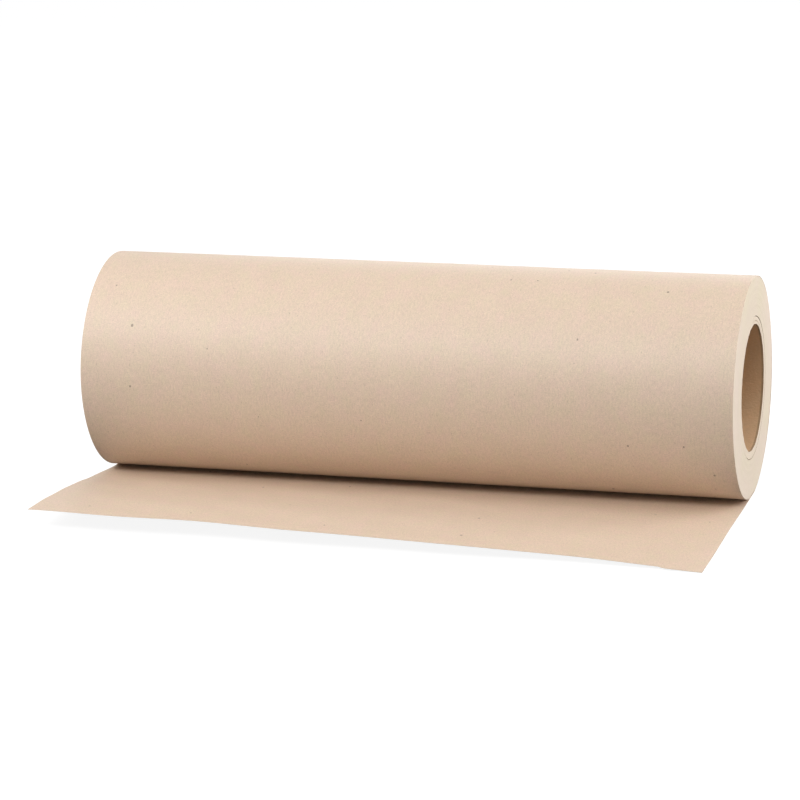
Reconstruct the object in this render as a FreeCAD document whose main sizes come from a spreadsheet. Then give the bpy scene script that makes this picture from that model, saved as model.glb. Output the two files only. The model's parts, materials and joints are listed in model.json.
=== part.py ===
# Roll of kraft wrapping paper on a board core, lying on its side with its loose end pulled out in front.
# Frame in millimetres: X runs along the roll, -Y the way the paper is pulled out, Z up.
# The origin is on the floor, straight below the middle of the roll's axis.
import FreeCAD, Part

import enum
import math
import os

import Sketcher

# Driving dimensions: alias, value, what it is
SIZES = [
    ("web_width", 400.0, "width of the paper, so the length of the roll"),
    ("core_bore", 76.0, "bore of a standard three-inch core"),
    ("core_wall", 4.75, "wound board of the core"),
    ("core_bevel", 0.5, "worn outer rim of the core at each end"),
    ("winding_depth", 24.0, "all the turns of paper, from the core to the outside"),
    ("paper_thickness", 0.3, "one layer, thicker than the real tenth of a millimetre"),
    ("flat_width", 16.0, "where the soft roll is pressed flat by its own weight"),
    ("lying_run", 3.0, "paper that lies flat in front of the flat spot"),
    ("free_length", 158.0, "from below the axis to the front edge, at the left corner"),
    ("cut_slant", 3.0, "how much further the front edge reaches at the right corner"),
    ("corner_lift", 12.0, "height of the left corner above the floor"),
]

# The loose paper rises in a shallow S: the share of its run that each end of the curve keeps level
LEVEL_AT_ROLL = 0.15
LEVEL_AT_FRONT = 0.35

# The same lengths for the sketches, worked out from the driving dimensions
FLAT_HALF = "sizes.flat_width / 2"
BORE_RADIUS = "sizes.core_bore / 2"
CORE_RADIUS = "(sizes.core_bore / 2 + sizes.core_wall)"
ROLL_RADIUS = f"({CORE_RADIUS} + sizes.winding_depth)"
AXIS_HEIGHT = f"sqrt({ROLL_RADIUS} ^ 2 - ({FLAT_HALF}) ^ 2)"

doc = FreeCAD.newDocument("kraft_paper_roll")


class At(enum.IntEnum):
    """How a sketch numbers the points of a line, arc or circle."""
    START = 1
    END = 2
    CENTRE = 3


class Axis(enum.IntEnum):
    """How a sketch numbers its own axes. The origin is the start of the first."""
    ACROSS = -1
    UP = -2


ORIGIN = (Axis.ACROSS, At.START)


def make_sheet():
    """Puts the driving dimensions in a spreadsheet, one row each."""
    sheet = doc.addObject("Spreadsheet::Sheet", "sizes")
    for row, (alias, value, meaning) in enumerate(SIZES, start=1):
        sheet.set(f"A{row}", alias)
        sheet.set(f"B{row}", str(value))
        sheet.setAlias(f"B{row}", alias)
        sheet.set(f"C{row}", meaning)
    doc.recompute()
    return sheet


def core_radius():
    """Outside of the core, which is the seat of the first turn."""
    return sizes.core_bore / 2 + sizes.core_wall


def roll_radius():
    """Outside of the outermost turn."""
    return core_radius() + sizes.winding_depth


def axis_height():
    """Height of the roll's axis: the flat spot lets it sink a little."""
    return math.sqrt(roll_radius() ** 2 - (sizes.flat_width / 2) ** 2)


def end_view_sketch(body, name):
    """Adds a sketch on the body's YZ plane: its own x is the part's Y and its own y is Z."""
    sketch = body.newObject("Sketcher::SketchObject", name)
    plane = [item for item in body.Origin.OriginFeatures if item.Role == "YZ_Plane"][0]
    sketch.AttachmentSupport = (plane, [""])
    sketch.MapMode = "FlatFace"
    return sketch


def add_circle(sketch, height, radius):
    """Draws a circle on the sketch's upright axis."""
    centre = FreeCAD.Vector(0, height, 0)
    return sketch.addGeometry(Part.Circle(centre, FreeCAD.Vector(0, 0, 1), radius))


def bind(sketch, name, expression, kind, *terms):
    """Adds a named constraint whose size follows the spreadsheet."""
    sketch.addConstraint(Sketcher.Constraint(kind, *terms))
    sketch.renameConstraint(sketch.ConstraintCount - 1, name)
    sketch.setExpression(f"Constraints.{name}", expression)


def pad_along_roll(body, sketch, name):
    """Extends the sketch to both ends of the roll."""
    pad = body.newObject("PartDesign::Pad", name)
    pad.Profile = sketch
    pad.SideType = "Symmetric"
    pad.setExpression("Length", "sizes.web_width")
    sketch.Visibility = False
    return pad


def make_core():
    """Core tube: wound board, cut flush with the roll, its outer rim bevelled at both ends."""
    body = doc.addObject("PartDesign::Body", "core_tube")
    sketch = end_view_sketch(body, "core_section")
    height = axis_height()
    bore = add_circle(sketch, height, sizes.core_bore / 2)
    outside = add_circle(sketch, height, core_radius())
    sketch.addConstraint([
        Sketcher.Constraint("Coincident", outside, At.CENTRE, bore, At.CENTRE),
        Sketcher.Constraint("PointOnObject", bore, At.CENTRE, Axis.UP),
    ])
    bind(sketch, "height", AXIS_HEIGHT, "DistanceY", *ORIGIN, bore, At.CENTRE, height)
    bind(sketch, "bore_radius", BORE_RADIUS, "Radius", bore, sizes.core_bore / 2)
    bind(sketch, "core_radius", CORE_RADIUS, "Radius", outside, core_radius())
    pad = pad_along_roll(body, sketch, "core_length")
    doc.recompute()

    rims = []
    for number, edge in enumerate(pad.Shape.Edges, start=1):
        if isinstance(edge.Curve, Part.Circle) and math.isclose(edge.Curve.Radius, core_radius()):
            rims.append(f"Edge{number}")
    bevel = body.newObject("PartDesign::Chamfer", "rim_bevel")
    bevel.Base = (pad, rims)
    bevel.setExpression("Size", "sizes.core_bevel")
    return body


def make_winding():
    """All the turns as one body, with the first of the paper that lies flat in front.

    Its outline is two half circles. The back one is the outermost turn, which touches the floor. The
    front one is one layer further in at the bottom, where it sits on the loose paper. They meet at the top.
    """
    body = doc.addObject("PartDesign::Body", "winding")
    sketch = end_view_sketch(body, "winding_section")
    radius = roll_radius()
    height = axis_height()
    half = sizes.flat_width / 2
    layer = sizes.paper_thickness
    root = half + sizes.lying_run

    top = height + radius
    front_height = (top + layer) / 2 - half ** 2 / (2 * (top - layer))
    back_foot = FreeCAD.Vector(half, 0, 0)
    back_side = FreeCAD.Vector(radius, height, 0)
    crown = FreeCAD.Vector(0, top, 0)
    front_side = FreeCAD.Vector(front_height - top, front_height, 0)
    front_foot = FreeCAD.Vector(-half, layer, 0)
    root_top = FreeCAD.Vector(-root, layer, 0)
    root_bottom = FreeCAD.Vector(-root, 0, 0)

    back = sketch.addGeometry(Part.Arc(back_foot, back_side, crown))
    front = sketch.addGeometry(Part.Arc(crown, front_side, front_foot))
    lying = sketch.addGeometry(Part.LineSegment(front_foot, root_top))
    step = sketch.addGeometry(Part.LineSegment(root_top, root_bottom))
    base = sketch.addGeometry(Part.LineSegment(root_bottom, back_foot))
    seat = add_circle(sketch, height, core_radius())

    sketch.addConstraint([
        Sketcher.Constraint("Coincident", back, At.END, front, At.START),
        Sketcher.Constraint("Coincident", front, At.END, lying, At.START),
        Sketcher.Constraint("Coincident", lying, At.END, step, At.START),
        Sketcher.Constraint("Coincident", step, At.END, base, At.START),
        Sketcher.Constraint("Coincident", base, At.END, back, At.START),
        Sketcher.Constraint("Coincident", seat, At.CENTRE, back, At.CENTRE),
        Sketcher.Constraint("PointOnObject", back, At.CENTRE, Axis.UP),
        Sketcher.Constraint("PointOnObject", front, At.CENTRE, Axis.UP),
        Sketcher.Constraint("PointOnObject", back, At.END, Axis.UP),
        Sketcher.Constraint("PointOnObject", back, At.START, Axis.ACROSS),
        Sketcher.Constraint("Horizontal", lying),
        Sketcher.Constraint("Vertical", step),
        Sketcher.Constraint("Horizontal", base),
    ])
    bind(sketch, "roll_radius", ROLL_RADIUS, "Radius", back, radius)
    bind(sketch, "seat_radius", CORE_RADIUS, "Radius", seat, core_radius())
    bind(sketch, "back_half", FLAT_HALF, "DistanceX", *ORIGIN, back, At.START, half)
    bind(sketch, "front_half", FLAT_HALF, "DistanceX", front, At.END, *ORIGIN, half)
    bind(sketch, "lying_run", "sizes.lying_run", "DistanceX", lying, At.END, lying, At.START, sizes.lying_run)
    bind(sketch, "layer", "sizes.paper_thickness", "DistanceY", step, At.END, step, At.START, layer)
    pad_along_roll(body, sketch, "turns")
    return body


def sheet_curve(share):
    """One curve of the loose paper's underside, from the roll to the front edge.

    share goes from 0 at the left edge, which curls up most, to 1 at the right edge, which lies flat.
    """
    along = (share - 0.5) * sizes.web_width
    root = sizes.flat_width / 2 + sizes.lying_run
    front = sizes.free_length + sizes.cut_slant * share
    run = front - root
    lift = sizes.corner_lift * (1 - share ** 2)
    curve = Part.BezierCurve()
    curve.setPoles([
        FreeCAD.Vector(along, -root, 0),
        FreeCAD.Vector(along, -root - LEVEL_AT_ROLL * run, 0),
        FreeCAD.Vector(along, -front + LEVEL_AT_FRONT * run, lift),
        FreeCAD.Vector(along, -front, lift),
    ])
    return curve.toShape()


def make_free_sheet():
    """The loose end: a face through curves at both edges and the middle, one layer thick."""
    curves = []
    for place, share in (("left", 0.0), ("middle", 0.5), ("right", 1.0)):
        curve = doc.addObject("Part::Feature", f"{place}_curve")
        curve.Shape = sheet_curve(share)
        curves.append(curve)
    underside = doc.addObject("Part::Loft", "sheet_underside")
    underside.Sections = curves
    underside.Solid = False
    layer = doc.addObject("Part::Extrusion", "free_sheet")
    layer.Base = underside
    layer.DirMode = "Custom"
    layer.Dir = FreeCAD.Vector(0, 0, 1)
    layer.Solid = True
    layer.setExpression("LengthFwd", "sizes.paper_thickness")
    return layer


def make_paper():
    """The whole web of paper, turns and loose end, as the one piece that it is."""
    paper = doc.addObject("Part::Fuse", "wound_paper")
    paper.Base = make_winding()
    paper.Tool = make_free_sheet()
    return paper


def check_document():
    """Stops if any object failed to build."""
    for item in doc.Objects:
        if "Invalid" in item.State or "Error" in item.State:
            raise RuntimeError(f"{item.Label} did not build: {item.State}")


def check_node(node):
    """Stops if a piece has no sound single solid."""
    if node.Shape.isNull() or not node.Shape.isValid():
        raise RuntimeError(f"{node.Label} has no valid shape")
    if len(node.Shape.Solids) != 1:
        raise RuntimeError(f"{node.Label} is not one solid")


sizes = make_sheet()
nodes = [make_core(), make_paper()]
doc.recompute()
check_document()
for node in nodes:
    check_node(node)
os.makedirs("parts", exist_ok=True)
for node in nodes:
    node.Shape.exportStep(f"parts/{node.Label}.step")
    box = node.Shape.BoundBox
    print(f"{node.Label}: {box.XLength:.1f} x {box.YLength:.1f} x {box.ZLength:.1f} mm, "
          f"{node.Shape.Volume / 1000:.1f} cubic cm")
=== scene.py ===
"""Looks of a roll of kraft wrapping paper on a board core, with its loose end pulled out in front.

Metres, in the frame of the CAD model: X along the roll, -Y the way the paper is pulled out, Z up.
Angles around the roll start at the floor and run up the back, over the top and down the front.
"""
import json
import math

import bmesh
import bpy
import numpy as np
from mathutils import Matrix, Vector


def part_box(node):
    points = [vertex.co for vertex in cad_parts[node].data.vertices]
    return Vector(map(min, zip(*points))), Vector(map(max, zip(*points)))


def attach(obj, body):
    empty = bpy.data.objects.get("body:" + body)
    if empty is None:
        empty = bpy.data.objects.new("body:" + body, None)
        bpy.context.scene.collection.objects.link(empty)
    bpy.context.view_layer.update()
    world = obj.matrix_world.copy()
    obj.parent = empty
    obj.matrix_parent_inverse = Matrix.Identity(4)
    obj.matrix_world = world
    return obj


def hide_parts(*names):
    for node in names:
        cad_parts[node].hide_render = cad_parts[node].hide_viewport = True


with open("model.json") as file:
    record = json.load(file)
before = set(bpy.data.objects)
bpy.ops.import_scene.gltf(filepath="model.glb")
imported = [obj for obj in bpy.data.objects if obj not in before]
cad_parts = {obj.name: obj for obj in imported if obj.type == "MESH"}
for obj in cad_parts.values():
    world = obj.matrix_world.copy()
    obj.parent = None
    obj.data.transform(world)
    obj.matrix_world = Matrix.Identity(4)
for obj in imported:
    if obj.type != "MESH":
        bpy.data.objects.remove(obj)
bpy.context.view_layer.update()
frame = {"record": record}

# Sizes that the CAD model gives
MOUNTS = {mount["name"]: mount for mount in frame["record"]["mounts"]}
PAPER_LOW, PAPER_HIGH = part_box("wound_paper")
CORE_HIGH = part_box("core_tube")[1]
HALF_WIDTH = PAPER_HIGH.x
ROLL_RADIUS = PAPER_HIGH.y
CORE_RADIUS = CORE_HIGH.y
BORE_RADIUS = MOUNTS["core_bore"]["dims"]["r_mm"] / 1000
AXIS_HEIGHT = MOUNTS["core_bore"]["pos_m"][2]
FRONT_RIGHT = -PAPER_LOW.y

# Sizes that the CAD model has in its own source
LAYER = 0.0003
FLAT_HALF = 0.008
LYING_RUN = 0.003
CUT_SLANT = 0.003
CORNER_LIFT = 0.012
LEVEL_AT_ROLL = 0.15
LEVEL_AT_FRONT = 0.35

# How the pieces lie against each other
CLEAR = 0.00004
TUCK_END = -0.004
FLOOR_LEVEL = -0.0001

# Small unevenness of the real paper and board
RIPPLE = 0.0002
RIPPLE_LENGTH = 0.045
RIPPLE_FROM = 0.004
WOBBLE = 0.00005
WOBBLE_LENGTH = 0.030
WOBBLE_RUN = 0.40
EDGE_WANDER = 0.00012
EDGE_WANDER_LENGTH = 0.120
RIM_ROUND = 0.00008
FACE_RELIEF = 0.00004
FACE_RELIEF_LENGTH = 0.0035
FACE_RELIEF_FROM = 0.001

# The hand-cut front edge: each wave's size, length and place of a crest, and a step near the right corner
CUT_BACK = 0.0007
CUT_WAVES = ((0.0021, 0.80, -0.116), (0.0010, 0.25, 0.013), (0.0007, 0.10, -0.039))
CUT_STEP = 0.002
CUT_STEP_AT = 0.176
CUT_STEP_RUN = 0.002

# The core: gap to the first turn, crack between two plies, seam in the bore, and rims with a burr
END_INSET = 0.0001
CORE_GAP = 0.00042
CORE_GAP_DEPTH = 0.007
CORE_GAP_END = 0.009
CORE_GAP_AT = math.radians(152)
CRACK_RADIUS = 0.0399
CRACK_HALF = 0.00016
CRACK_DEPTH = 0.0012
CRACK_AT = math.radians(160)
OUTER_PLY = 0.0412
SEAM_PITCH = 0.100
SEAM_HALF = 0.00035
SEAM_DEPTH = 0.0003
SEAM_FADE = 0.001
RIM_DEPTH = 0.0015
# Band along both rims of the bore that is darkened in the board's colour: painted shadow of the burr
RIM_SHADOW_FROM = 0.0016
RIM_SHADOW_FULL = 0.0010
BORE_RAG = 0.0001
BURR = 0.0006
BURR_AT = math.radians(59)
BURR_HALF = math.radians(2.5)

# How finely the meshes are divided
WEB_COLUMNS = 161
LOOSE_STEPS = 64
FLAT_STEPS = 5
TURN_STEPS = 221
FACE_STEPS = 32
RIM_STEPS = 5
AROUND = 288
BORE_STEPS = 9
BORE_STEP_FROM = 0.008
SHARP_ANGLE = math.radians(38)

# Camera, fitted to the photograph's outlines
AIM = Vector((-0.0180, 0.0, 0.0478))
CAMERA_DISTANCE = 2.0393
CAMERA_AZIMUTH = 16.074
CAMERA_ELEVATION = 14.242
CAMERA_ROLL = -1.150
CAMERA_LENS = 149.93

# Colours, linear, and the roughness of the paper
KRAFT = (0.652, 0.513, 0.400)
CUT_EDGE = (0.85, 0.73, 0.60)
BOARD = (0.70, 0.475, 0.28)
FLOOR = (0.19, 0.19, 0.19)
KRAFT_ROUGHNESS = 0.52

# Lamps: azimuth and elevation in degrees, distance, width and height in metres, power in watts
LAMPS = {
    "key": (-10, 41, 1.6, 1.4, 0.4, 11.3),
    "left": (-62, 36, 1.6, 1.0, 1.0, 11),
    "side": (98, 25, 1.6, 1.2, 1.2, 17),
    "back": (180, 18, 1.6, 1.4, 0.8, 6),
}

# Strength of the sky's light, and of the glow that makes the floor white to the camera
SKY = 0.45
FLOOR_GLOW = 0.90

rng = np.random.default_rng(7)


def wander(points, scale, waves=7):
    """Smooth random values, mostly between -1 and 1, in waves of about the given length."""
    points = np.asarray(points, dtype=float)
    total = np.zeros(points.shape[:-1])
    for _ in range(waves):
        direction = rng.normal(size=points.shape[-1])
        direction /= np.linalg.norm(direction)
        length = scale * rng.uniform(0.6, 1.8)
        total += np.cos(points @ direction * 2 * math.pi / length + rng.uniform(0, 2 * math.pi))
    return total / math.sqrt(waves)


def make_object(name, vertices, faces, uv=None):
    """Makes a mesh object, shaded smooth apart from its sharp edges."""
    mesh = bpy.data.meshes.new(name)
    mesh.from_pydata(vertices.tolist(), [], faces.tolist())
    if uv is not None:
        layer = mesh.uv_layers.new(name="web")
        corners = np.empty(len(mesh.loops), dtype=np.int64)
        mesh.loops.foreach_get("vertex_index", corners)
        layer.data.foreach_set("uv", uv[corners].astype(np.float32).ravel())
    mesh.shade_smooth()
    mesh.set_sharp_from_angle(angle=SHARP_ANGLE)
    piece = bpy.data.objects.new(name, mesh)
    bpy.context.scene.collection.objects.link(piece)
    return piece


def quads(grid, flip=False):
    """Faces between the neighbours of a grid of vertex numbers."""
    a, b, c, d = grid[:-1, :-1], grid[1:, :-1], grid[1:, 1:], grid[:-1, 1:]
    order = (d, c, b, a) if flip else (a, b, c, d)
    return np.stack([part.ravel() for part in order], axis=1)


def sheet_mesh(name, outer, inner, uv):
    """Closes two grids of points, the faces of one sheet of paper, with a cut edge all round."""
    rows, columns = outer.shape[:2]
    count = rows * columns
    top = np.arange(count).reshape(rows, columns)
    bottom = top + count
    faces = [quads(top), quads(bottom, flip=True)]
    for edge_top, edge_bottom, flip in (
        (top[0], bottom[0], True),
        (top[-1], bottom[-1], False),
        (top[:, 0], bottom[:, 0], False),
        (top[:, -1], bottom[:, -1], True),
    ):
        faces.append(quads(np.stack([edge_top, edge_bottom]), flip=flip))
    vertices = np.concatenate([outer.reshape(-1, 3), inner.reshape(-1, 3)])
    both = np.concatenate([uv.reshape(-1, 2), uv.reshape(-1, 2)])
    piece = make_object(name, vertices, np.concatenate(faces), both)
    cut = np.zeros(len(piece.data.polygons), dtype=np.int32)
    cut[2 * (rows - 1) * (columns - 1):] = 1
    piece.data.polygons.foreach_set("material_index", cut)
    return piece


def around_roll(x, radii, angle):
    """Points at the given places along the roll, radii and angles around its axis."""
    x, radii, angle = np.broadcast_arrays(x, radii, angle)
    return np.stack([x, np.sin(angle) * radii, AXIS_HEIGHT - np.cos(angle) * radii], axis=2)


def ring_mesh(name, points):
    """Closes a grid of points along a closed section. The first and last rows around the roll coincide."""
    grid = np.arange(points.shape[0] * points.shape[1]).reshape(points.shape[:2])
    grid = np.concatenate([grid, grid[:, :1]], axis=1)
    return make_object(name, points.reshape(-1, 3), quads(grid, flip=True))


def close_mesh(piece):
    """Joins the points that coincide, and drops the faces that this leaves without an area."""
    mesh = bmesh.new()
    mesh.from_mesh(piece.data)
    bmesh.ops.remove_doubles(mesh, verts=mesh.verts, dist=2e-6)
    bmesh.ops.dissolve_degenerate(mesh, edges=mesh.edges, dist=2e-6)
    mesh.to_mesh(piece.data)
    mesh.free()
    piece.data.set_sharp_from_angle(angle=SHARP_ANGLE)


def turn_radius(angle):
    """Outside of the outermost turn, which winds in by one layer over its length."""
    return ROLL_RADIUS - LAYER * angle / (2 * math.pi)


def cut_line(x):
    """How far the hand-cut front edge strays from a straight line."""
    stray = sum(size * np.cos((x - place) * 2 * math.pi / length) for size, length, place in CUT_WAVES)
    step = CUT_STEP * np.clip((x - CUT_STEP_AT) / CUT_STEP_RUN, 0, 1)
    return stray + step - CUT_BACK


def loose_end(share):
    """The loose end at one share of its width, from the front edge to the roll, as y and z."""
    root = FLAT_HALF + LYING_RUN
    front = FRONT_RIGHT - CUT_SLANT * (1 - share)
    run = front - root
    lift = CORNER_LIFT * (1 - share ** 2)
    poles = np.array([
        (-front, lift),
        (-front + LEVEL_AT_FRONT * run, lift),
        (-root - LEVEL_AT_ROLL * run, 0),
        (-root, 0),
    ])
    t = np.linspace(0, 1, LOOSE_STEPS)[:, None]
    weights = np.concatenate([(1 - t) ** 3, 3 * t * (1 - t) ** 2, 3 * t ** 2 * (1 - t), t ** 3], axis=1)
    line = weights @ poles
    line[:, 0] -= cut_line((share - 0.5) * 2 * HALF_WIDTH) * (1 - t[:, 0]) ** 2
    return line


def make_web():
    """The loose end and the outermost turn as one sheet, from the front edge to the tuck under the roll."""
    shares = np.linspace(0, 1, WEB_COLUMNS)
    lying = np.linspace(-FLAT_HALF - LYING_RUN, FLAT_HALF, FLAT_STEPS + 2)[1:-1]
    flat = np.stack([lying, np.zeros(FLAT_STEPS)], axis=1)
    first = math.asin(FLAT_HALF / ROLL_RADIUS)
    angle = np.linspace(first, 2 * math.pi - first, TURN_STEPS)
    turn = around_roll(0, turn_radius(angle)[:, None], angle[:, None])[:, 0, 1:]
    tuck = np.array([[TUCK_END, LAYER + CLEAR]])
    path = np.stack([np.concatenate([loose_end(share), flat, turn, tuck]) for share in shares], axis=1)
    x = np.broadcast_to((shares * 2 - 1) * HALF_WIDTH, path.shape[:2])
    steps = np.linalg.norm(np.diff(path, axis=0), axis=2)
    length = np.concatenate([np.zeros((1, path.shape[1])), np.cumsum(steps, axis=0)])
    uv = np.stack([x + HALF_WIDTH, length], axis=2)

    along = np.gradient(path, axis=0)
    normal = np.stack([np.zeros_like(x), -along[..., 1], along[..., 0]], axis=2)
    normal /= np.linalg.norm(normal, axis=2, keepdims=True)
    under = np.concatenate([x[..., None], path], axis=2)
    lifted = np.clip(under[..., 2] / RIPPLE_FROM, 0, 1) * (np.arange(len(path)) < LOOSE_STEPS)[:, None]
    under[..., 2] += RIPPLE * lifted * wander(uv * (0.7, 1.0), RIPPLE_LENGTH)
    risen = length - length[LOOSE_STEPS + FLAT_STEPS + 1]
    bare = np.sin(np.clip(risen / WOBBLE_RUN, 0, 1) * math.pi)
    under += (WOBBLE * bare * wander(uv * (1.0, 0.4), WOBBLE_LENGTH))[..., None] * normal
    under[..., 0] += EDGE_WANDER * wander(length[..., None], EDGE_WANDER_LENGTH)
    under[..., 2] = np.maximum(under[..., 2], 0)
    return sheet_mesh("loose_turn", under, under + LAYER * normal, uv)


def make_turns():
    """All the other turns as one mass, pressed flat at the bottom, with the cut edges at both ends."""
    angle = np.linspace(0, 2 * math.pi, AROUND + 1)[:, None]
    down = np.cos(angle)
    bottom = AXIS_HEIGHT - 2 * LAYER - 2 * CLEAR
    outer = np.minimum(turn_radius(angle) - LAYER - CLEAR - WOBBLE, bottom / np.maximum(down, 0.5))
    outer[-1] = outer[0]
    near_rim = 1 - 0.03 * np.linspace(0.75, 0, RIM_STEPS) ** 2
    share = np.concatenate([np.linspace(0, 0.97, FACE_STEPS), near_rim])
    inner = CORE_RADIUS + CLEAR
    radii = inner + share * (outer - inner)
    edge = np.clip((radii - outer + RIM_ROUND) / RIM_ROUND, 0, 1)
    rim = RIM_ROUND * (1 - np.sqrt(1 - edge ** 2))
    faces = []
    for side in (1, -1):
        relief = FACE_RELIEF * wander(radii[..., None], FACE_RELIEF_LENGTH)
        relief = relief * (radii > inner + FACE_RELIEF_FROM)
        faces.append(side * (HALF_WIDTH - FACE_RELIEF + relief - rim))
    x = np.concatenate([faces[0], faces[1][:, ::-1]], axis=1)
    piece = ring_mesh("turns", around_roll(x, np.concatenate([radii, radii[:, ::-1]], axis=1), angle))
    wall = np.zeros((AROUND, x.shape[1]), dtype=np.int32)
    wall[:, -1] = 1
    piece.data.polygons.foreach_set("material_index", wall.ravel())
    close_mesh(piece)
    return piece


def bore_lines(angle):
    """Places along the bore at one angle, which follow the spiral seam, and their share of its depth."""
    edge = HALF_WIDTH - RIM_DEPTH
    plain = np.linspace(BORE_STEP_FROM, SEAM_PITCH - BORE_STEP_FROM, BORE_STEPS)
    offsets = np.concatenate([[0, SEAM_HALF], plain, [SEAM_PITCH - SEAM_HALF]])
    start = -HALF_WIDTH + SEAM_PITCH * angle / (2 * math.pi)
    turns = round(2 * HALF_WIDTH / SEAM_PITCH)
    x = np.concatenate([start + SEAM_PITCH * turn + offsets for turn in range(-1, turns)])
    groove = np.tile(offsets == 0, turns + 1) * np.clip((edge - np.abs(x)) / SEAM_FADE, 0, 1)
    return np.clip(x, -edge, edge), groove


def make_core():
    """The wound board core: the seam of its inner ply, ragged cut rims and a gap to the first turn."""
    angle = np.linspace(0, 2 * math.pi, AROUND + 1)
    circle = np.stack([np.cos(angle), np.sin(angle)], axis=1)
    bore_x, groove = (np.stack(part) for part in zip(*(bore_lines(a) for a in angle)))

    # The gap is widest at its own angle, narrower right opposite, and closed in between
    across = np.cos(angle - CORE_GAP_AT)
    gap = CORE_GAP * (0.72 + 0.28 * across) * np.clip(2 * across ** 2 - 1, 0, 1) ** 1.5 + 0.00003
    crack = CRACK_DEPTH * np.cos(np.clip(1.7 * (angle - CRACK_AT), -math.pi / 2, math.pi / 2)) ** 3

    def end(side):
        """The cut end from the bore to the outside, as places along the roll and radii."""
        rag = BORE_RAG * (wander(circle, 0.20) + 0.8 * wander(circle, 0.08))
        rag -= (side > 0) * BURR * np.exp(-((angle - BURR_AT) / BURR_HALF) ** 2)
        depths_and_radii = [
            (0.0009, BORE_RADIUS + 0.2 * rag),
            (0.0004, BORE_RADIUS + 0.7 * rag),
            (END_INSET, BORE_RADIUS + rag),
            (END_INSET, BORE_RADIUS + rag + 0.0003),
            (END_INSET, CRACK_RADIUS - CRACK_HALF),
            (END_INSET + crack, CRACK_RADIUS),
            (END_INSET, CRACK_RADIUS + CRACK_HALF),
            (END_INSET, OUTER_PLY),
            (END_INSET, CORE_RADIUS - gap - END_INSET),
            (2 * END_INSET, CORE_RADIUS - gap),
            (CORE_GAP_DEPTH, CORE_RADIUS - gap),
            (CORE_GAP_END, CORE_RADIUS - CLEAR),
        ]
        depths = np.stack([np.broadcast_to(depth, angle.shape) for depth, _ in depths_and_radii], axis=1)
        radii = np.stack([np.broadcast_to(radius, angle.shape) for _, radius in depths_and_radii], axis=1)
        return side * (HALF_WIDTH - depths), radii

    right_x, right_r = end(1)
    left_x, left_r = end(-1)
    x = np.concatenate([bore_x, right_x, left_x[:, ::-1]], axis=1)
    radii = np.concatenate([BORE_RADIUS + SEAM_DEPTH * groove, right_r, left_r[:, ::-1]], axis=1)
    piece = ring_mesh("core", around_roll(x, radii, angle[:, None]))

    # Brown board is the bore with both its rims, and the outside, which shows in the gap to the first turn
    brown = np.zeros((AROUND, x.shape[1]), dtype=np.int32)
    bore_count = bore_x.shape[1]
    left_start = bore_count + right_x.shape[1]
    brown[:, :bore_count + 2] = 1
    brown[:, left_start - 3:left_start + 2] = 1
    brown[:, -3:] = 1
    piece.data.polygons.foreach_set("material_index", brown.ravel())
    close_mesh(piece)
    return piece


class Material:
    """A material under construction, with short calls for the nodes that it uses."""

    def __init__(self, name, roughness, specular):
        self.material = bpy.data.materials.new(name)
        self.material.use_nodes = True
        self.tree = self.material.node_tree
        self.shader = self.tree.nodes["Principled BSDF"]
        self.shader.inputs["Roughness"].default_value = roughness
        self.shader.inputs["Specular IOR Level"].default_value = specular

    def node(self, kind, inputs=(), **settings):
        """Adds a node. inputs pairs the name or number of a socket with a value or an output."""
        node = self.tree.nodes.new("ShaderNode" + kind)
        for name, value in settings.items():
            setattr(node, name, value)
        for socket, value in inputs:
            self.feed(node.inputs[socket], value)
        return node

    def feed(self, socket, value):
        """Links an output to a socket, or sets the socket."""
        if isinstance(value, bpy.types.NodeSocket):
            self.tree.links.new(value, socket)
        else:
            socket.default_value = value

    def math(self, operation, first, second=0.0, third=0.0):
        """Arithmetic on single values."""
        return self.node("Math", enumerate((first, second, third)), operation=operation).outputs[0]

    def sum(self, *values):
        """Adds any number of values."""
        total = values[0]
        for value in values[1:]:
            total = self.math("ADD", total, value)
        return total

    def scaled(self, vector, scale):
        """Multiplies a vector by a vector of plain numbers."""
        return self.node("VectorMath", ((0, vector), (1, scale)), operation="MULTIPLY").outputs[0]

    def noise(self, vector, scale, detail=2.0, roughness=0.5):
        """Smooth noise of about -1 to 1, stretched by a vector of scales in cycles per metre."""
        inputs = [("Vector", self.scaled(vector, scale)), ("Scale", 1.0)]
        inputs += [("Detail", detail), ("Roughness", roughness)]
        value = self.node("TexNoise", inputs).outputs["Fac"]
        return self.math("MULTIPLY_ADD", value, 4.0, -2.0)

    def ramp(self, value, low, high):
        """0 below low, 1 above high, smooth in between."""
        inputs = (("Value", value), ("From Min", low), ("From Max", high))
        node = self.node("MapRange", inputs, interpolation_type="SMOOTHSTEP")
        return node.outputs["Result"]

    def mix(self, factor, first, second):
        """Mixes two colours, each an output or three numbers."""
        node = self.node("Mix", data_type="RGBA")
        self.feed(node.inputs["Factor"], factor)
        for name, colour in (("A", first), ("B", second)):
            socket = next(s for s in node.inputs if s.name == name and s.type == "RGBA")
            self.feed(socket, colour if isinstance(colour, bpy.types.NodeSocket) else (*colour, 1.0))
        return next(s for s in node.outputs if s.type == "RGBA")

    def shade(self, colour, value):
        """Multiplies a colour by 1 + value."""
        factor = self.math("ADD", value, 1.0)
        node = self.node("VectorMath", ((0, colour),), operation="SCALE")
        self.feed(node.inputs["Scale"], factor)
        return node.outputs[0]

    def finish(self, colour, height, distance, roughness=None):
        """Links the colour, the bump and, where it varies, the roughness."""
        self.feed(self.shader.inputs["Base Color"], colour)
        bump = self.node("Bump", (("Strength", 1.0), ("Distance", distance), ("Height", height)))
        self.feed(self.shader.inputs["Normal"], bump.outputs[0])
        if roughness is not None:
            self.feed(self.shader.inputs["Roughness"], roughness)
        return self.material


def tint(colour, red, green, blue):
    """A colour with each part changed by the given share of itself."""
    return tuple(part * (1 + change) for part, change in zip(colour, (red, green, blue)))


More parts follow.
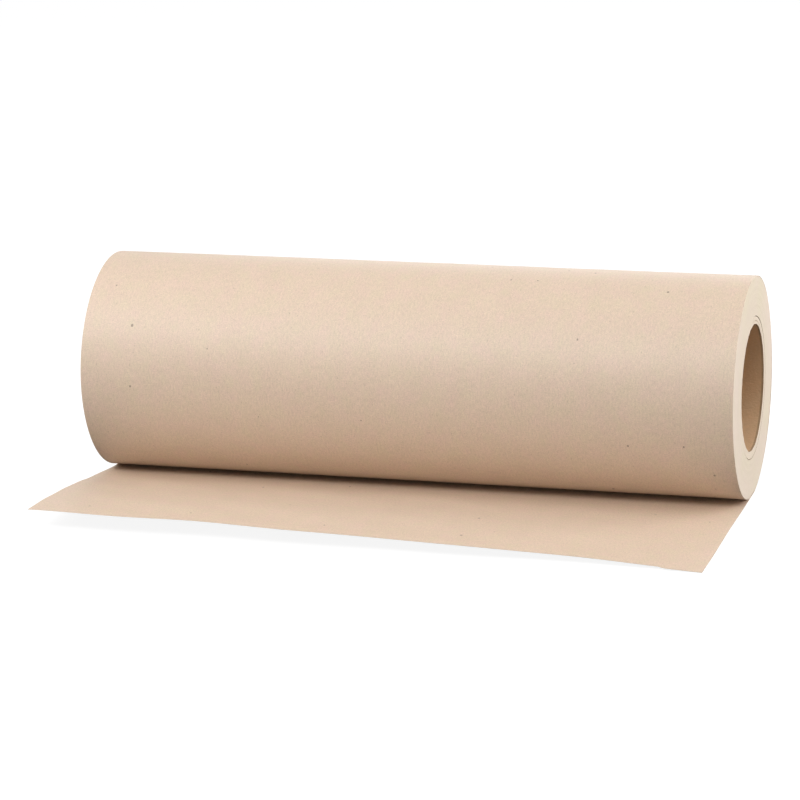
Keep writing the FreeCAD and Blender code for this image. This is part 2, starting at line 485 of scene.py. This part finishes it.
def flecks(mat, vector, scale, share, size, dimensions="3D"):
    """Scattered specks, 1 inside and 0 outside: one in a share of the cells, up to the given size."""
    inputs = (("Vector", mat.scaled(vector, scale)), ("Scale", 1.0), ("Randomness", 1.0))
    cells = mat.node("TexVoronoi", inputs, voronoi_dimensions=dimensions)
    chance = mat.node("SeparateColor", ((0, cells.outputs["Color"]),))
    chosen = mat.ramp(chance.outputs[0], 1 - share, 1 - share * 0.6)
    reach = mat.math("MULTIPLY", chance.outputs[1], size)
    near = mat.math("SUBTRACT", reach, cells.outputs["Distance"])
    return mat.math("MULTIPLY", chosen, mat.ramp(near, 0.0, size * 0.35))


def kraft_paper():
    """Uncoated kraft paper: fibres along the web, cloudy formation, brown specks and pale fibres."""
    mat = Material("kraft", KRAFT_ROUGHNESS, 0.6)
    web = mat.node("UVMap", uv_map="web").outputs[0]
    cloud = mat.noise(web, (75, 42, 0), 3.0)
    fibres = mat.noise(web, (900, 330, 0), 2.0, 0.6)
    grain = mat.noise(web, (1700, 1250, 0), 1.0)
    hue = mat.noise(web, (110, 75, 0), 4.0, 0.65)
    curls = mat.noise(web, (330, 240, 0), 0.0)
    curl_line = mat.ramp(mat.math("ABSOLUTE", curls), 0.05, 0.0)
    curl_place = mat.ramp(mat.noise(web, (140, 120, 0), 0.0), 0.75, 1.0)
    pale = mat.math("MULTIPLY", curl_line, curl_place)
    pinker = tint(KRAFT, 0.025, -0.025, 0.015)
    greener = tint(KRAFT, -0.025, 0.015, -0.05)
    colour = mat.mix(mat.ramp(hue, -1.3, 1.3), pinker, greener)
    tone = mat.sum(
        mat.math("MULTIPLY", cloud, 0.020),
        mat.math("MULTIPLY", fibres, 0.085),
        mat.math("MULTIPLY", grain, 0.11),
        mat.math("MULTIPLY", pale, 0.09),
    )
    colour = mat.shade(colour, tone)
    small = flecks(mat, web, (380, 260, 0), 0.22, 0.18, "2D")
    large = flecks(mat, web, (62, 48, 0), 0.16, 0.060, "2D")
    colour = mat.mix(mat.math("MULTIPLY", small, 0.30), colour, tint(KRAFT, -0.5, -0.55, -0.6))
    colour = mat.mix(mat.math("MULTIPLY", large, 0.75), colour, tint(KRAFT, -0.7, -0.72, -0.72))
    height = mat.sum(
        mat.math("MULTIPLY", fibres, 0.5),
        mat.math("MULTIPLY", grain, 0.35),
        mat.math("MULTIPLY", cloud, 0.5),
    )
    roughness = mat.math("MULTIPLY_ADD", fibres, 0.03, KRAFT_ROUGHNESS)
    return mat.finish(colour, height, 0.00002, roughness)


def radius_in(mat, vector):
    """Distance from the roll's axis, slightly out of round as wound turns are."""
    axis = (0, 0, AXIS_HEIGHT)
    from_axis = mat.node("VectorMath", ((0, vector), (1, axis)), operation="SUBTRACT").outputs[0]
    flat = mat.scaled(from_axis, (0, 1, 1))
    radius = mat.node("VectorMath", ((0, flat),), operation="LENGTH").outputs["Value"]
    stray = mat.math("MULTIPLY", mat.noise(vector, (0, 25, 25), 1.0), 0.0002)
    return mat.math("ADD", radius, stray)


def cut_edge():
    """Cut edges of the turns: pale, with a painted highlight that makes the outermost band paler still, and
    faint rings of looser and tighter turns.
    """
    mat = Material("cut_edge", 0.75, 0.3)
    place = mat.node("TexCoord").outputs["Object"]
    radius = radius_in(mat, place)
    line = mat.node("CombineXYZ", ((0, radius),)).outputs[0]
    fine = mat.noise(line, (2600, 0, 0), 2.0)
    broad = mat.noise(line, (420, 0, 0), 1.0)
    mottle = mat.noise(place, (300, 300, 300), 2.0)
    blush = mat.noise(place, (40, 28, 28), 1.0)
    # Painted highlight: the outermost band of the cut edges, where the rounded rim catches more light, is
    # made paler
    outside = mat.ramp(radius, 0.052, 0.060)
    pinker = tint(CUT_EDGE, 0.01, -0.01, 0.01)
    yellower = tint(CUT_EDGE, -0.01, 0.005, -0.05)
    colour = mat.mix(mat.ramp(blush, -1.0, 1.0), pinker, yellower)
    tone = mat.sum(
        mat.math("MULTIPLY", fine, 0.010),
        mat.math("MULTIPLY", broad, 0.007),
        mat.math("MULTIPLY", mottle, 0.014),
        # painted highlight on the outermost band
        mat.math("MULTIPLY", outside, 0.015),
    )
    height = mat.sum(fine, mat.math("MULTIPLY", mottle, 0.4))
    return mat.finish(mat.shade(colour, tone), height, 0.00002)


def board_end():
    """Sawn end of the core: pale like the paper, with the lines of its plies."""
    mat = Material("board_end", 0.8, 0.3)
    place = mat.node("TexCoord").outputs["Object"]
    line = mat.node("CombineXYZ", ((0, radius_in(mat, place)),)).outputs[0]
    plies = mat.noise(line, (1500, 0, 0), 1.0)
    fuzz = mat.noise(place, (1400, 1400, 1400), 2.0)
    tone = mat.sum(mat.math("MULTIPLY", plies, 0.035), mat.math("MULTIPLY", fuzz, 0.03))
    colour = mat.shade(tint(CUT_EDGE, 0.0, -0.01, -0.03), tone)
    return mat.finish(colour, mat.sum(plies, fuzz), 0.00004)


def board_bore():
    """Brown board of the core: short fibres, specks, and painted shadow along the ragged rims of the bore.
    """
    mat = Material("board_bore", 0.85, 0.25)
    place = mat.node("TexCoord").outputs["Object"]
    cloud = mat.noise(place, (60, 90, 90), 3.0)
    fibres = mat.noise(place, (520, 900, 900), 3.0, 0.6)
    redder = tint(BOARD, 0.03, -0.01, -0.03)
    duller = tint(BOARD, -0.06, -0.04, -0.02)
    colour = mat.mix(mat.ramp(cloud, -1.4, 1.4), redder, duller)
    tone = mat.sum(mat.math("MULTIPLY", cloud, 0.04), mat.math("MULTIPLY", fibres, 0.06))
    specks = flecks(mat, place, (260, 260, 260), 0.3, 0.22)
    colour = mat.shade(colour, tone)
    colour = mat.mix(mat.math("MULTIPLY", specks, 0.35), colour, tint(BOARD, -0.55, -0.6, -0.6))
    # Painted shadow: the board is darkened in a band along both rims of the bore, where the burr shades it
    along = mat.node("SeparateXYZ", ((0, place),)).outputs[0]
    rim = mat.ramp(mat.math("ABSOLUTE", along), HALF_WIDTH - RIM_SHADOW_FROM, HALF_WIDTH - RIM_SHADOW_FULL)
    colour = mat.shade(colour, mat.math("MULTIPLY", rim, -0.35))
    return mat.finish(colour, mat.sum(fibres, cloud), 0.00006)


def seen_directly(tree):
    """1 for what the camera sees itself, and 0 for what lights the object."""
    return tree.nodes.new("ShaderNodeLightPath").outputs["Is Camera Ray"]


def make_floor():
    """A plain pale floor that shows white to the camera and keeps the shadow."""
    reach = 12.0
    corners = [(x * reach, y * reach, FLOOR_LEVEL) for x, y in ((-1, -1), (1, -1), (1, 1), (-1, 1))]
    mesh = bpy.data.meshes.new("floor")
    mesh.from_pydata(corners, [], [(0, 1, 2, 3)])
    floor = bpy.data.objects.new("floor", mesh)
    bpy.context.scene.collection.objects.link(floor)
    material = bpy.data.materials.new("floor")
    material.use_nodes = True
    tree = material.node_tree
    shader = tree.nodes["Principled BSDF"]
    shader.inputs["Base Color"].default_value = (*FLOOR, 1)
    shader.inputs["Roughness"].default_value = 0.9
    shader.inputs["Specular IOR Level"].default_value = 0.0
    glow = tree.nodes.new("ShaderNodeMath")
    glow.operation = "MULTIPLY"
    glow.inputs[1].default_value = FLOOR_GLOW
    tree.links.new(seen_directly(tree), glow.inputs[0])
    shader.inputs["Emission Color"].default_value = (1, 1, 1, 1)
    tree.links.new(glow.outputs[0], shader.inputs["Emission Strength"])
    mesh.materials.append(material)


def make_world():
    """Soft light from the whole sky, which shows as plain white."""
    world = bpy.data.worlds.new("studio")
    world.use_nodes = True
    tree = world.node_tree
    light = tree.nodes["Background"]
    light.inputs["Strength"].default_value = SKY
    white = tree.nodes.new("ShaderNodeBackground")
    for background in (light, white):
        background.inputs["Color"].default_value = (1, 1, 1, 1)
    mix = tree.nodes.new("ShaderNodeMixShader")
    tree.links.new(seen_directly(tree), mix.inputs[0])
    tree.links.new(light.outputs[0], mix.inputs[1])
    tree.links.new(white.outputs[0], mix.inputs[2])
    tree.links.new(mix.outputs[0], tree.nodes["World Output"].inputs["Surface"])
    bpy.context.scene.world = world


def towards(azimuth, elevation):
    """Direction from the roll, in degrees: azimuth 0 is in front and 90 at the right."""
    azimuth, elevation = math.radians(azimuth), math.radians(elevation)
    level = math.cos(elevation)
    return Vector((math.sin(azimuth) * level, -math.cos(azimuth) * level, math.sin(elevation)))


def add_lamp(name, azimuth, elevation, distance, width, height, power):
    """A rectangular soft lamp that faces the roll."""
    back = towards(azimuth, elevation)
    data = bpy.data.lights.new(name, "AREA")
    data.shape = "RECTANGLE"
    data.size = width
    data.size_y = height
    data.energy = power
    lamp = bpy.data.objects.new(name, data)
    lamp.location = Vector((0, 0, AXIS_HEIGHT)) + back * distance
    lamp.rotation_mode = "QUATERNION"
    lamp.rotation_quaternion = back.to_track_quat("Z", "Y")
    bpy.context.scene.collection.objects.link(lamp)


def make_camera():
    """The photograph's view."""
    back = towards(CAMERA_AZIMUTH, CAMERA_ELEVATION)
    level = Vector((0, 0, 1)).cross(back).normalized()
    upright = back.cross(level)
    roll = math.radians(CAMERA_ROLL)
    right = level * math.cos(roll) + upright * math.sin(roll)
    up = upright * math.cos(roll) - level * math.sin(roll)
    camera = bpy.data.objects.new("camera", bpy.data.cameras.new("camera"))
    camera.data.lens = CAMERA_LENS
    camera.data.sensor_width = 36.0
    camera.data.clip_end = 50.0
    turned = Matrix((right, up, back)).transposed().to_4x4()
    camera.matrix_world = Matrix.Translation(AIM + back * CAMERA_DISTANCE) @ turned
    bpy.context.scene.collection.objects.link(camera)
    bpy.context.scene.camera = camera


make_camera()

cut_paper = cut_edge()
brown_board = board_bore()
web = make_web()
web.data.materials.append(kraft_paper())
web.data.materials.append(cut_paper)
turns = make_turns()
turns.data.materials.append(cut_paper)
turns.data.materials.append(brown_board)
core = make_core()
core.data.materials.append(board_end())
core.data.materials.append(brown_board)

for piece in (web, turns, core):
    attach(piece, "root")
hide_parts("wound_paper")
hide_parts("wound_paper")
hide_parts("core_tube")

make_floor()
make_world()
for name, lamp in LAMPS.items():
    add_lamp(name, *lamp)
bpy.context.scene.view_settings.view_transform = "Standard"
